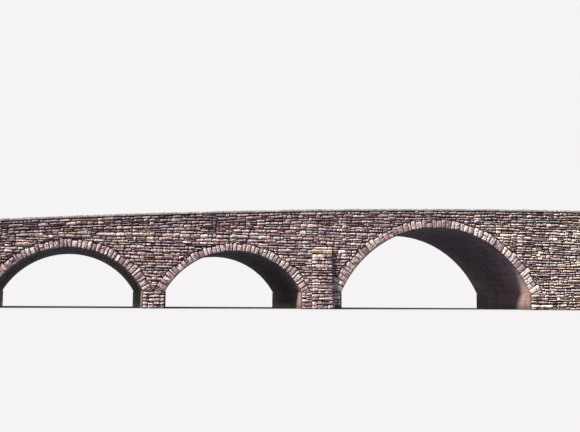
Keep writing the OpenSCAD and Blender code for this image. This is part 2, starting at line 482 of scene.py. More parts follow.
def board_marks(tree, girth, along):
    """0 at the seams between boards up to 1 on the boards, and a random value for each board."""
    rows = maths(tree, "DIVIDE", girth, BOARD_W)
    row = maths(tree, "FLOOR", rows)
    lengths = maths(tree, "DIVIDE", along, BOARD_L)
    lengths = maths(tree, "ADD", lengths, maths(tree, "MULTIPLY", row, BOARD_SHIFT))
    board = add(tree, "CombineXYZ", X=row, Y=maths(tree, "FLOOR", lengths))
    number = board.outputs["Vector"]
    chance = add(tree, "TexWhiteNoise", noise_dimensions="2D", Vector=number)
    share = maths(tree, "FRACT", rows)
    edge = maths(tree, "MINIMUM", share, maths(tree, "SUBTRACT", 1.0, share))
    return remap(tree, edge, (0.0, 0.07), (0.0, 1.0)), chance.outputs["Value"]


def painted_light_and_shade_mask(tree, x, y):
    """1 inside the arches, and 0 at their mouths and on the end walls: where the shade and light
    inside the arches are painted.
    """
    deep = remap(tree, maths(tree, "ABSOLUTE", y), MOUTH, (1.0, 0.0))
    between_ends = remap(tree, maths(tree, "ABSOLUTE", x), END_WALL, (1.0, 0.0))
    return maths(tree, "MULTIPLY", deep, between_ends)


def concrete_material(name, strength, inside, arch=None):
    """Board-marked concrete. Its tone is strength, and inside times that under the arches: painted
    shade where inside is below 1, painted light where it is above 1.
    With an arch it's that arch's barrel, with the boards round it and painted shade under its crown."""
    material, tree, shader = new_material(name)
    where = place(tree)
    x, y, z = axes_of(tree, where)
    girth = z
    if arch:
        # The angle from the upright through the barrel's centre
        dx, dz = maths(tree, "SUBTRACT", x, arch.x), maths(tree, "SUBTRACT", z, arch.z)
        turn = maths(tree, "ARCTAN2", dx, dz)
        girth = maths(tree, "MULTIPLY", turn, arch.radius)
    board, chance = board_marks(tree, girth, maths(tree, "ADD", y, x))
    cloud = noise(tree, where, scale=0.9, detail=5, roughness=0.6)
    fine = noise(tree, where, scale=30.0, detail=5, roughness=0.7)
    wash = noise(tree, place(tree, (1.3, 1.3, 0.22)), scale=2.2, detail=4, roughness=0.6)
    colour = ramp(tree, cloud, [(stop, tuple(strength * k for k in rgb)) for stop, rgb in CONCRETE])
    tone = remap(tree, chance, (0, 1), (0.86, 1.10))
    tone = vary(tree, tone, fine, MIDDLE, (0.88, 1.10))
    tone = vary(tree, tone, board, (0, 1), (0.72, 1.0))
    # Painted shade inside the arches, and painted light where inside is above 1
    tone = vary(tree, tone, painted_light_and_shade_mask(tree, x, y), (0, 1), (1.0, inside))
    colour = multiply(tree, colour, tone)
    if arch:
        # Painted shade: the barrel is darkened under its crown
        crown_shade = remap(tree, maths(tree, "ABSOLUTE", turn), CROWN_SHADE_FADE, (CROWN_SHADE_MOST, 0.0))
        colour = mix(tree, crown_shade, colour, CROWN_SHADE)
    colour = mix(tree, remap(tree, wash, (0.52, 0.74), (0.0, 0.55)), colour, STAIN)
    damp = vary(tree, remap(tree, z, DAMP_FADE, (1.0, 0.0)), wash, MIDDLE, (0.6, 1.0))
    colour = mix(tree, damp, colour, DAMP)
    if arch:
        # Painted shadow: the barrel's edge under the ring is darkened
        lip_shadow = remap(tree, maths(tree, "ABSOLUTE", y), LIP_EDGE, (0.0, 0.92))
        colour = mix(tree, lip_shadow, colour, LIP_SHADOW)
    roughness = remap(tree, damp, (0, 1), (0.88, 0.55))
    steps = maths(tree, "MULTIPLY", board, chance)
    surface(tree, shader, colour, roughness, [(steps, 0.004), (fine, 0.002)])
    shader.inputs["Specular IOR Level"].default_value = 0.25
    return material


ASPHALT = {"dark": (0.085, 0.083, 0.082), "light": (0.150, 0.145, 0.138)}
POLISHED = (0.185, 0.180, 0.172)
ROAD_DUST = (0.235, 0.190, 0.140)
# Distance of each lane's middle from the road's, and of the wheels from that
LANE = 1.55
WHEEL = 0.75


def asphalt_material():
    material, tree, shader = new_material("asphalt")
    where = place(tree)
    _, y, _ = axes_of(tree, where)
    grit = noise(tree, where, scale=110.0, detail=3, roughness=0.7)
    patch = noise(tree, where, scale=0.8, detail=5, roughness=0.6)
    tone = remap(tree, grit, MIDDLE, (0.7, 1.35))
    colour = multiply(tree, dark_to_light(tree, patch, **ASPHALT), tone)
    side = maths(tree, "ABSOLUTE", y)
    lane = maths(tree, "ABSOLUTE", maths(tree, "SUBTRACT", side, LANE))
    wheel = maths(tree, "ABSOLUTE", maths(tree, "SUBTRACT", lane, WHEEL))
    colour = mix(tree, remap(tree, wheel, (0.05, 0.40), (0.30, 0.0)), colour, POLISHED)
    dust = maths(tree, "ADD", side, remap(tree, patch, MIDDLE, (-0.25, 0.25)))
    colour = mix(tree, remap(tree, dust, (2.65, 3.05), (0.0, 0.75)), colour, ROAD_DUST)
    surface(tree, shader, colour, 0.86, [(grit, 0.006)])
    return material


EARTH = {"dark": (0.14, 0.10, 0.07), "light": (0.30, 0.23, 0.17)}


def earth_material():
    material, tree, shader = new_material("packed_rubble")
    where = place(tree)
    lumps = add(tree, "TexVoronoi", Scale=7.0, Vector=where)
    patches = noise(tree, where, scale=6.0, detail=5)
    colour = dark_to_light(tree, patches, **EARTH)
    surface(tree, shader, colour, 0.95, [(lumps.outputs["Distance"], 0.02)])
    return material


def dress_nodes():
    """Materials for the solids that stay in sight."""
    bed_mortar_and_shade = mortar_material("bed_mortar_and_shade", **BED_MORTAR_AND_SHADE)
    materials = {
        "ring": mortar_material("ring_mortar", **RING_MORTAR),
        # Under the arches the abutment is painted lighter and the pier darker: painted light and
        # painted shade
        "abutment": concrete_material("concrete_abutment", strength=0.74, inside=1.80),
        "pier": concrete_material("concrete_pier", strength=0.77, inside=0.48),
        "road_slab": asphalt_material(),
        "fill": earth_material(),
    }
    for arch in ARCHES:
        name = f"barrel_{arch.name}"
        # Painted light on the wide arch's barrel, painted shade on the small ones
        strength = BARREL_LIGHT_AND_SHADE[arch.name]
        materials[name] = concrete_material(f"concrete_{name}", strength, BARREL_INSIDE_SHADE, arch)
    for node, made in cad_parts.items():
        start = next((start for start in materials if node.startswith(start)), None)
        made.data.materials.clear()
        made.data.materials.append(materials.get(start, bed_mortar_and_shade))


# Shapes of single stones

# Most of a side that a chamfer takes up
CHAMFER_SHARE = 0.25
# Spread of a face's points in its plane, and how far its corners are drawn in
JITTER = 0.0025
CORNER_PULL = 0.35
# Where the nose of a face lies, how proud it is, and the fall beside it and over and under it
NOSE = (0.25, 0.75)
NOSE_PROUD = 1.15
SIDE_FALL = 0.35
BED_FALL = 1.9
LEAN = 0.22
# Waves in a face, and their height
WAVES = (0.3, 1.3)
WAVE_H = 0.010
# Share of the relief beside the chamfer, and the least of all
CHAMFER_PROUD = 0.66
LEAST_PROUD = 0.008


def lattice(count, chamfer, lengths):
    """Places from 0 to 1 along each stone, the second and last but one at its chamfer."""
    inset = np.minimum(chamfer / lengths, CHAMFER_SHARE)
    inner = np.linspace(0, 1, count - 2)[None, :] * (1 - 2 * inset[:, None]) + inset[:, None]
    ends = np.zeros((len(inset), 1))
    return np.concatenate([ends, inner, ends + 1], axis=1)


def waves(n, u, v, size, count=3):
    """A soft relief of its own for each of n stones."""
    total = 0
    for _ in range(count):
        fu, fv = random.uniform(*WAVES, (2, n, 1, 1))
        phase = random.uniform(0, 2 * math.pi, (n, 1, 1))
        total = total + size / count * np.sin(2 * math.pi * (u * fu + v * fv) + phase)
    return total


def faces_of(quads, proud, columns=9, rows=7, swell=(0.5, 1.0), rough=0.0045, root=0.012):
    """Rock-faced stones. quads (n, 4, 2) are corners in the wall's plane, anticlockwise
    from the lower left. Returns plane positions, depths and the mesh faces of one stone."""
    n = len(quads)
    a, b, c, d = (quads[:, k] for k in range(4))
    wide = (np.linalg.norm(b - a, axis=1) + np.linalg.norm(c - d, axis=1)) / 2
    high = (np.linalg.norm(d - a, axis=1) + np.linalg.norm(c - b, axis=1)) / 2
    u = lattice(columns, CHAMFER, wide)[:, None, :, None]
    v = lattice(rows, CHAMFER, high)[:, :, None, None]
    a, b, c, d = (k[:, None, None, :] for k in (a, b, c, d))
    at = (1 - u) * (1 - v) * a + u * (1 - v) * b + u * v * c + (1 - u) * v * d
    u, v = u[..., 0], v[..., 0]
    at += random.normal(0, JITTER, at.shape)
    # Rounded corners
    for row, up in ((1, 1), (-2, -1)):
        for column, along in ((1, 1), (-2, -1)):
            inner = at[:, row + up, column + along]
            at[:, row, column] += CORNER_PULL * (inner - at[:, row, column])
    # The face swells to a nose
    nose_u, nose_v = random.uniform(*NOSE, (2, n, 1, 1))
    swell = random.uniform(*swell, (n, 1, 1))
    away = SIDE_FALL * np.abs(u - nose_u) ** 2 + BED_FALL * np.abs(v - nose_v) ** 1.6
    lean = random.normal(0, LEAN, (n, 1, 1)) * (u - 0.5)
    depth = proud[:, None, None] * (NOSE_PROUD + lean - swell * away)
    depth = depth + waves(n, u, v, WAVE_H) + random.normal(0, rough, depth.shape)
    # The edge lies in the mortar, and the points next to it stand out less
    inside = np.zeros((rows, columns), bool)
    inside[1:-1, 1:-1] = True
    middle = np.zeros((rows, columns), bool)
    middle[2:-2, 2:-2] = True
    depth = np.where(middle, depth, depth * CHAMFER_PROUD)
    depth = np.where(inside, np.maximum(depth, LEAST_PROUD), -root)
    grid = np.arange(rows * columns).reshape(rows, columns)
    one = np.stack([grid[:-1, :-1], grid[:-1, 1:], grid[1:, 1:], grid[1:, :-1]], axis=-1)
    return at.reshape(n, -1, 2), depth.reshape(n, -1), one.reshape(-1, 4)


# How far a block's edges and corners are drawn in, as shares of its chamfer, and the share
# of its relief that they have
EDGE_PULL = 0.30
BLOCK_CORNER_PULL = 0.42
EDGE_RELIEF = 0.3
# Waves in the faces of a block, in radians a metre, and their phases
BLOCK_WAVES = (5, 12)
BLOCK_PHASES = (0, 6.28)


def block_shell(columns, rows, layers):
    """The surface lattice of a block: lattice places and the mesh faces between them."""
    size = (columns, rows, layers)
    places, index, faces = [], {}, []

    def point(p):
        if p not in index:
            index[p] = len(places)
            places.append(p)
        return index[p]

    for axis in range(3):
        a, b = [k for k in range(3) if k != axis]
        for end in (0, size[axis] - 1):
            for i in range(size[a] - 1):
                for j in range(size[b] - 1):
                    ring = []
                    for di, dj in ((0, 0), (1, 0), (1, 1), (0, 1)):
                        p = [0, 0, 0]
                        p[axis], p[a], p[b] = end, i + di, j + dj
                        ring.append(point(tuple(p)))
                    flip = (end > 0) == (axis == 1)
                    faces.append(ring[::-1] if flip else ring)
    return np.array(places), np.array(faces)


def blocks_of(low, high, columns=8, rows=6, layers=6, relief=0.006, chamfer=CHAMFER, swell=0.0):
    """Rough blocks between corners low and high (n, 3), and the mesh faces of one."""
    n = len(low)
    counts = np.array([columns, rows, layers])
    places, one = block_shell(columns, rows, layers)
    size = high - low
    share = [lattice(k, chamfer, size[:, axis])[:, places[:, axis]] for axis, k in enumerate(counts)]
    share = np.stack(share, axis=-1)
    at = low[:, None, :] + share * size[:, None, :]
    # -1 or 1 on the low or high side of an axis
    ends = (places == counts - 1).astype(float) - (places == 0)
    sides = np.abs(ends).sum(axis=1)
    # Edges and corners are rounded and the faces roughened
    pull = np.select([sides == 2, sides == 3], [EDGE_PULL, BLOCK_CORNER_PULL], 0.0)
    at -= ends[None] * (pull * chamfer)[None, :, None]
    rough = random.normal(0, 1, (n, len(places), 1)) * relief / 2
    phase = random.uniform(*BLOCK_PHASES, (n, 1, 3))
    soft = np.sin(at * random.uniform(*BLOCK_WAVES, (n, 1, 3)) + phase)
    soft = soft.sum(axis=-1, keepdims=True) / 3 * relief
    at += ends[None] * np.where(sides == 1, 1.0, EDGE_RELIEF)[None, :, None] * (rough + soft)
    across = 1 - (2 * share - 1) ** 2
    for axis in range(3):
        others = across[..., axis - 1] * across[..., axis - 2]
        swells = swell * random.uniform(0.5, 1.3, (n, 1))
        at[..., axis] += ends[None, :, axis] * others * swells
    return at, one


def proud_of(count, mean, spread, least, most):
    """How far each stone stands out of the mortar."""
    return np.clip(random.normal(mean, spread, count), least, most)


# Tone and grime of a stone: mean and spread
TONE = (0.51, 0.23)
OWN_GRIME = (0.03, 0.12)
# Grime at the top and foot of the walls: the most, the depth at which it starts to fade,
# and over what height. At the foot that is the height of a fall by 1
TOP_GRIME = 0.48
TOP_GRIME_DEPTH = 0.45
TOP_GRIME_FADE = 0.75
FOOT_GRIME = 0.75
FOOT_GRIME_FADE = 0.35


def finish_of(x, z, top_grime=True):
    """Hue, tone and grime for stones at x and z."""
    count = len(x)
    hue = random.uniform(0, 1, count)
    tone = np.clip(random.normal(*TONE, count), 0, 1)
    tone = np.clip(tone + RIGHT_TONE * rightness(x), 0, 1.15)
    grime = np.zeros(count)
    if top_grime:
        deeper = wall_top(x) - z - TOP_GRIME_DEPTH
        grime = np.clip(TOP_GRIME - TOP_GRIME * deeper / TOP_GRIME_FADE, 0.0, TOP_GRIME)
    grime = np.clip(grime + random.normal(*OWN_GRIME, count), 0, 0.9)
    grime = np.maximum(grime, np.clip(FOOT_GRIME - z / FOOT_GRIME_FADE, 0, FOOT_GRIME))
    return np.stack([hue, tone, grime], axis=1)


def in_scene(name, data):
    made = bpy.data.objects.new(name, data)
    bpy.context.scene.collection.objects.link(made)
    return made


def piece(name, points, one, finish, material, turned):
    """One object of many stones. points (n, p, 3) are their points, one the mesh faces of a
    stone, turned round if so asked, and finish (n, 3) each stone's hue, tone and grime."""
    mesh = bpy.data.meshes.new(name)
    points[..., 2] = np.maximum(points[..., 2], 0)
    if turned:
        one = one[:, ::-1]
    count, size = points.shape[:2]
    faces = (one[None] + (np.arange(count) * size)[:, None, None]).reshape(-1, 4)
    mesh.from_pydata(points.reshape(-1, 3).tolist(), [], faces.tolist())
    colours = np.ones((count, size, 4), np.float32)
    colours[:, :, :3] = finish[:, None, :]
    attribute = mesh.color_attributes.new("stone", "FLOAT_COLOR", "POINT")
    attribute.data.foreach_set("color", colours.ravel())
    mesh.materials.append(material)
    made = in_scene(name, mesh)
    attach(made, "root")
    return made


# The layout of the courses


def sway(x, rates, phases):
    """A sum of sines along the bridge."""
    return sum(math.sin(rate * x + phase) for rate, phase in zip(rates, phases))


def bed_lines():
    """(lower, upper) height functions of each course: level ones up to the parapet, and
    above those a few that follow the road."""
    courses_below = round(SPRING / (COURSE_LOW + COURSE_HIGH) * 2)
    levels = list(np.linspace(0, SPRING, courses_below + 1))
    straight = (0, courses_below)
    while levels[-1] < wall_top(END_X):
        levels.append(levels[-1] + random.uniform(COURSE_LOW, COURSE_HIGH))
    level_phases = random.uniform(0, 2 * math.pi, (len(levels), 3))
    shares = np.cumsum(random.uniform(0.75, 1.25, PARAPET_COURSES))
    shares = [0, *(shares / shares[-1])]
    slope_phases = random.uniform(0, 2 * math.pi, (len(shares), 3))

    def level(k):
        swing = 0.0 if k in straight else BED_SWING
        return lambda x: levels[k] + swing * sway(x, BED_WAVES, level_phases[k])

    def sloped(k):
        swing = 0.0 if k == len(shares) - 1 else PARAPET_SWING
        depth = COPING_BED + (PARAPET_ZONE - COPING_BED) * (1 - shares[k])
        return lambda x: wall_top(x) - depth + swing * sway(x, PARAPET_WAVES, slope_phases[k])

    start = sloped(0)

    def under_slope(line):
        """The line, or the lowest sloping bed where no more than a sliver lies between them."""
        return lambda x: line(x) if start(x) - line(x) >= SLIVER else start(x)

    flat = [under_slope(level(k)) for k in range(len(levels))]
    slopes = [sloped(k) for k in range(len(shares))]
    return [*zip(flat, flat[1:]), *zip(slopes, slopes[1:])]


def runs_of(lower, upper):
    """Stretches of a course between arches and pilaster: ((low x, high x) of each end)."""
    blocks = []
    for arch in ARCHES:
        z0, z1 = lower(arch.x) + TINY, upper(arch.x) - TINY
        # A course that the crown only just reaches runs on over it
        if arch.top(arch.x) > (z0 + z1) / 2:
            edges = [arch.x + side * arch.half_width(z, side) for side in (-1, 1) for z in (z0, z1)]
            blocks.append(edges)
    middle = (PILASTER_X0 + PILASTER_X1) / 2
    if (lower(middle) + upper(middle)) / 2 < CAP_TOP:
        blocks.append([PILASTER_X0, PILASTER_X0, PILASTER_X1, PILASTER_X1])
    blocks.sort()
    runs, start = [], (-END_X, -END_X)
    for end_low, end_high, next_low, next_high in blocks:
        runs.append((start, (end_low, end_high)))
        start = (next_low, next_high)
    runs.append((start, (END_X, END_X)))
    return runs


def stone_length(spread):
    length = random.lognormal(math.log(STONE_MEAN), spread)
    return float(np.clip(length, STONE_SHORTEST, STONE_LONGEST))


def joints_between(start, end, lower, ring):
    """Places of the upright joints in a run. On a ring they lie closer."""
    joints = [start]
    while True:
        step = stone_length(spread=0.45)
        if max(ring(joints[-1]), ring(joints[-1] + step)) > lower(joints[-1]):
            step = min(step, LONGEST_ON_RING)
        if joints[-1] + step > end - STONE_SHORTEST:
            break
        joints.append(joints[-1] + step)
    return [*joints, end]


def stones_in_run(run, lower, upper):
    """Quads, as [(x, z) * 4], that fill one run. A long slant over a ring is stepped into
    stones whose beds follow the ring."""
    (a_low, a_high), (b_low, b_high) = run
    start, end = min(a_low, a_high), max(b_low, b_high)
    if end - start < SHORTEST_RUN:
        return []
    below_rings = upper(start) <= SPRING + TINY

    def ring(x):
        return -1.0 if below_rings else ring_top(x)

    joints = joints_between(start, end, lower, ring)
    stones = []
    for xa, xb in zip(joints, joints[1:]):
        za, zb = lower(xa), lower(xb)
        foot_a, foot_b = max(za, ring(xa)), max(zb, ring(xb))
        lift = max(ring((xa + xb) / 2) - (foot_a + foot_b) / 2, 0)
        corners = [[xa, foot_a + lift], [xb, foot_b + lift], [xb, upper(xb)], [xa, upper(xa)]]
        # The steep end of a run leans along the ring
        if xa == start and abs(a_low - a_high) < STEEP:
            corners[0], corners[3] = [a_low, za], [a_high, upper(a_high)]
        if xb == end and abs(b_low - b_high) < STEEP:
            corners[1], corners[2] = [b_low, zb], [b_high, upper(b_high)]
        stones += split_stone(without_thin_end(corners))
    return stones


def without_thin_end(corners):
    """The stone cut back to where it's thick enough, or None if it's too small."""
    a, b, c, d = corners
    left, right = d[1] - a[1], c[1] - b[1]
    if max(left, right) < THIN or max(b[0] - a[0], c[0] - d[0]) < NARROW:
        return None
    if left < THIN:
        share = (THIN - left) / (right - left)
        return [part_way(a, b, share), b, c, part_way(d, c, share)]
    if right < THIN:
        share = (THIN - right) / (left - right)
        return [a, part_way(b, a, share), part_way(c, d, share), d]
    return corners


def part_way(start, end, share):
    return [p + share * (q - p) for p, q in zip(start, end)]


# Stones that may be split along a bed, and their share
SPLIT_HEIGHT = 0.17
SPLIT_CHANCE = 0.22


def split_stone(corners):
    """The stone or, now and then, two thin ones that lie where one would."""
    if corners is None:
        return []
    low, high = np.array(corners[:2]), np.array([corners[3], corners[2]])
    height = (high - low)[:, 1].min()
    if height < SPLIT_HEIGHT or random.uniform() > SPLIT_CHANCE:
        return [corners]
    share = random.uniform(0.38, 0.62)
    middle = low + share * (high - low)
    return [[*low, *middle[::-1]], [*middle, *high[::-1]]]


def wall_stones():
    """Courses of rubble on one face, between the arches and round the pilaster."""
    stones = []
    for lower, upper in bed_lines():
        for run in runs_of(lower, upper):
            stones += stones_in_run(run, lower, upper)
    return stones


def shrink(quads):
    """Half a joint off each side, and corners that aren't quite square. Stones that end up
    too narrow are left out."""
    quads = np.array(quads, float)
    inward = np.array([[1, 1], [-1, 1], [-1, -1], [1, -1]])
    right = rightness(quads[..., 0].mean(axis=1))[:, None]
    joint = JOINT + (RIGHT_JOINT - JOINT) * right
    bed_joint = BED_JOINT + (RIGHT_BED_JOINT - BED_JOINT) * right
    quads[..., 0] += inward[:, 0] * joint / 2
    quads[..., 1] += inward[:, 1] * bed_joint / 2
    quads += random.normal(0, OFF_SQUARE, quads.shape)
    # Neighbours in a course don't share quite the same beds
    step = (quads[:, 2:, 1] - quads[:, 1::-1, 1]).mean(axis=1, keepdims=True)
    step *= 1 + RIGHT_STEP * right
    quads[:, :2, 1] += random.normal(0, BED_STEP, step.shape) * step
    quads[:, 2:, 1] += random.normal(0, BED_STEP, step.shape) * step
    # No face is lower than the thinnest
    lacking = np.clip(THINNEST - (quads[:, :1:-1, 1] - quads[:, :2, 1]), 0, None)
    quads[:, :2, 1] -= lacking / 2
    quads[:, :1:-1, 1] += lacking / 2
    wide = (quads[:, 1, 0] - quads[:, 0, 0] + quads[:, 2, 0] - quads[:, 3, 0]) / 2
    return quads[wide > NARROW]


# The stonework of the bridge


def stones_on(quads, centre, proud, face_y, out, **shape):
    """Points, mesh faces and finish of stones in a face at face_y that looks to out."""
    at, depth, one = faces_of(quads, proud_of(len(quads), *proud), **shape)
    points = np.stack([at[..., 0], face_y + depth * out, at[..., 1]], axis=-1)
    return points, one, finish_of(centre[:, 0], centre[:, 1])


def lay_wall(side, material):
    """The rubble on one face, from the water to the coping, in one piece for each bay."""
    out = OUT[side]
    quads = shrink(wall_stones())
    centre = quads.mean(axis=1)
    points, one, finish = stones_on(quads, centre, WALL_PROUD, out * FACE_Y, out)
    bays = np.array([bay_of(x) for x in centre[:, 0]])
    for bay, _ in BAYS:
        own = bays == bay
        name = f"stones_{bay}_{side}"
        piece(name, points[own], one, finish[own], material, turned=out > 0)


def lay_parapet_inside(side, material):
    """The side of the parapet that faces the road."""
    out = -OUT[side]
    quads = []
    lines = np.cumsum([0, *random.uniform(0.8, 1.2, PARAPET_COURSES)])
    lines = lines / lines[-1] * PARAPET_H
    for low, high in zip(lines, lines[1:]):
        x = -END_X
        while x < END_X:
            after = min(x + stone_length(spread=0.40), END_X)
            corners = ((x, low), (after, low), (after, high), (x, high))
            quads.append([[k, road(k) + height] for k, height in corners])
            x = after
    quads = shrink(quads)
    centre = quads.mean(axis=1)
    points, one, finish = stones_on(quads, centre, INSIDE_PROUD, -out * CORE_Y, out, columns=7, rows=6)
    name = f"stones_parapet_inside_{side}"
    piece(name, points, one, finish, material, turned=out > 0)


# Grime of the ring's stones as a multiple of the walls', and the most
RING_GRIME = 1.6
RING_GRIME_MOST = 0.8
# Chance that two short ring stones stand in for a long one
RING_SPLIT_CHANCE = 0.08
# The springing stones stop this share short of the point where they would all meet
FAN_ROOT = 0.12


def lay_ring(arch, side, material):
    """The faces of a ring's voussoirs."""
    out = OUT[side]
    quads = np.array(ring_quads(arch), float)
    centre = quads.mean(axis=1)
    quads = inset_quads(quads, RING_JOINT)
    quads += random.normal(0, OFF_SQUARE_RING, quads.shape)
    shape = {"columns": 8, "rows": 11, "swell": (0.2, 0.7), "rough": 0.0065, "root": 0.036}
    points, one, finish = stones_on(quads, centre, RING_PROUD, out * FACE_Y, out, **shape)
    finish[:, 2] = np.minimum(finish[:, 2] * RING_GRIME, RING_GRIME_MOST)
    name = f"voussoirs_{arch.name}_{side}"
    piece(name, points, one, finish, material, turned=out > 0)


def ring_quads(arch):
    """Corners of the stones of a ring, with a fan of two more at each springing."""
    inner = arch.radius + RING_DROP
    last = arch.stones - 1
    quads = []
    for i in range(arch.stones):
        outer = arch.reach(i)
        angles = (arch.edge(i), arch.edge(i + 1))
        if i in (0, last):
            quads += springing_fan(arch, -1 if i == 0 else 1, inner, outer)
        cuts = [inner, outer]
        if random.uniform() < RING_SPLIT_CHANCE and 0 < i < last:
            cuts.insert(1, inner + (outer - inner) * random.uniform(0.40, 0.62))
        rows = [[on_arch(arch, r, t) for t in angles] for r in cuts]
        for (a, b), (d, c) in zip(rows, rows[1:]):
            quads.append([a, b, c, d])
    return quads


def on_arch(arch, radius, angle):
    return [arch.x + radius * math.sin(angle), arch.z + radius * math.cos(angle)]


def springing_fan(arch, end, inner, outer):
    """Two stones that turn from the slope of the ring to the level of the courses."""
    corner = on_arch(arch, inner, end * arch.half_angle)
    low, high = SPRING - arch.z, outer * math.cos(arch.half_angle)
    beds = []
    for z in (low, (low + high) / 2, high):
        far = [arch.x + end * math.sqrt(outer**2 - z**2), arch.z + z]
        beds.append([part_way(corner, far, share) for share in (FAN_ROOT, 1)])
    fan = []
    for (low_in, low_out), (high_in, high_out) in zip(beds, beds[1:]):
        low_first = [low_in, high_in, high_out, low_out]
        fan.append(low_first if end < 0 else [high_in, low_in, low_out, high_out])
    return fan


def inset_quads(quads, joint):
    """Each side of each quad moved in by half a joint."""
    sides = []
    for k in range(4):
        a, b = quads[:, k], quads[:, (k + 1) % 4]
        along = (b - a) / np.linalg.norm(b - a, axis=1, keepdims=True)
        normal = np.stack([-along[:, 1], along[:, 0]], axis=1)
        sides.append((a + normal * joint / 2, along))
    corners = []
    for k in range(4):
        p, d = sides[k - 1]
        q, e = sides[k]
        cross = d[:, 0] * e[:, 1] - d[:, 1] * e[:, 0]
        t = ((q - p)[:, 0] * e[:, 1] - (q - p)[:, 1] * e[:, 0]) / cross
        corners.append(p + t[:, None] * d)
    return np.stack(corners, axis=1)


# The pilaster's courses, and how far their blocks start from the wall and pass the solid
PILASTER_COURSE = (0.130, 0.230)
PILASTER_BACK = 0.02
PILASTER_SIDE = (0.004, 0.020)
PILASTER_PROUD = (0.060, 0.080)
# How far its upright joints are off their even places, as a share of a block
PILASTER_UNEVEN = 0.35
# The tones of its stones are spread and then lowered by this much
PILASTER_CONTRAST = 2.1
PILASTER_SHADE = 0.56


def lay_pilaster(side, material):
    """Blocks that wrap the pilaster's corners."""
    out = OUT[side]
    low, high, middles = [], [], []
    heights = random.uniform(*PILASTER_COURSE, round(PILASTER_TOP / np.mean(PILASTER_COURSE)))
    beds = np.cumsum([0, *(heights * PILASTER_TOP / heights.sum())])
    for bed, top in zip(beds, beds[1:]):
        middle = (bed + top) / 2
        front = PILASTER_FOOT + (PILASTER_HEAD - PILASTER_FOOT) * middle / PILASTER_TOP
        count = random.integers(2, 5, endpoint=True)
        cuts = np.linspace(0, 1, count + 1)
        cuts[1:-1] += random.uniform(-PILASTER_UNEVEN, PILASTER_UNEVEN, count - 1) / count
        for a, b in zip(cuts, cuts[1:]):
            x0, x1 = (PILASTER_X0 + k * (PILASTER_X1 - PILASTER_X0) for k in (a, b))
            x0 += -random.uniform(*PILASTER_SIDE) if a == 0 else PILASTER_JOINT / 2
            x1 += random.uniform(*PILASTER_SIDE) if b == 1 else -PILASTER_JOINT / 2
            rise, drop = random.uniform(-PILASTER_STEP, PILASTER_STEP, 2) * (top - bed)
            y1 = front + random.uniform(*PILASTER_PROUD)
            low.append((x0, PILASTER_BACK, bed + rise + PILASTER_BED / 2))
            high.append((x1, y1, top - drop - PILASTER_BED / 2))
            middles.append(middle)
    low, high, middles = np.array(low), np.array(high), np.array(middles)
    points, one = blocks_of(low, high, relief=0.014, chamfer=0.014, swell=0.016)
    # The fronts lean back as the pilaster does
    batter = (PILASTER_HEAD - PILASTER_FOOT) / PILASTER_TOP
    frontness = np.clip(points[..., 1] / PILASTER_HEAD, 0, 1)
    points[..., 1] += batter * (points[..., 2] - middles[:, None]) * frontness
    points[..., 1] = out * (FACE_Y + points[..., 1])
    finish = finish_of((low[:, 0] + high[:, 0]) / 2, middles, top_grime=False)
    finish[:, 1] = np.clip(finish[:, 1] * PILASTER_CONTRAST - PILASTER_SHADE, 0, 1)
    name = f"pilaster_stones_{side}"
    piece(name, points, one, finish, material, turned=out < 0)


# Place of the joint between a cap's slabs, from its middle, and their least tone
CAP_JOINT_OFF = 0.08
CAP_LEAST_TONE = 0.55


def lay_cap(side, material):
    """Two slabs with a weathered top, on the pilaster."""
    out = OUT[side]
    (x0, y0, z0), (x1, y1, z1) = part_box(f"pilaster_cap_{side}")
    deep = y1 - y0
    middle = (x0 + x1) / 2 + CAP_JOINT_OFF
    low = np.array([(x0, 0, 0), (middle + JOINT / 2, 0, 0)])
    high = np.array([(middle - JOINT / 2, deep, 1), (x1, deep, 1)])
    points, one = blocks_of(low, high, columns=10, rows=7, layers=5)
    height = CAP_T + (z1 - z0 - CAP_T) * (1 - points[..., 1] / deep)
    points[..., 2] = z0 + points[..., 2] * height
    points[..., 1] = out * (FACE_Y + points[..., 1])
    finish = finish_of(np.full(2, middle), np.full(2, CAP_TOP), top_grime=False)
    finish[:, 1] = np.clip(finish[:, 1], CAP_LEAST_TONE, 1)
    name = f"pilaster_cap_slabs_{side}"
    slabs = piece(name, points, one, finish, material, turned=out < 0)
    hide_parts(f"pilaster_cap_{side}")


# Slabs of the coping: length, joint, how far they are off their places along the wall,
# across it and at the top, and mean and spread of their grime
SLAB_L = 0.82
SLAB_JOINT = 0.010
SLAB_UNEVEN = 0.2
SLAB_SLIP = 0.012
SLAB_TOP = (-0.014, 0.006)
SLAB_GRIME = (0.06, 0.09)


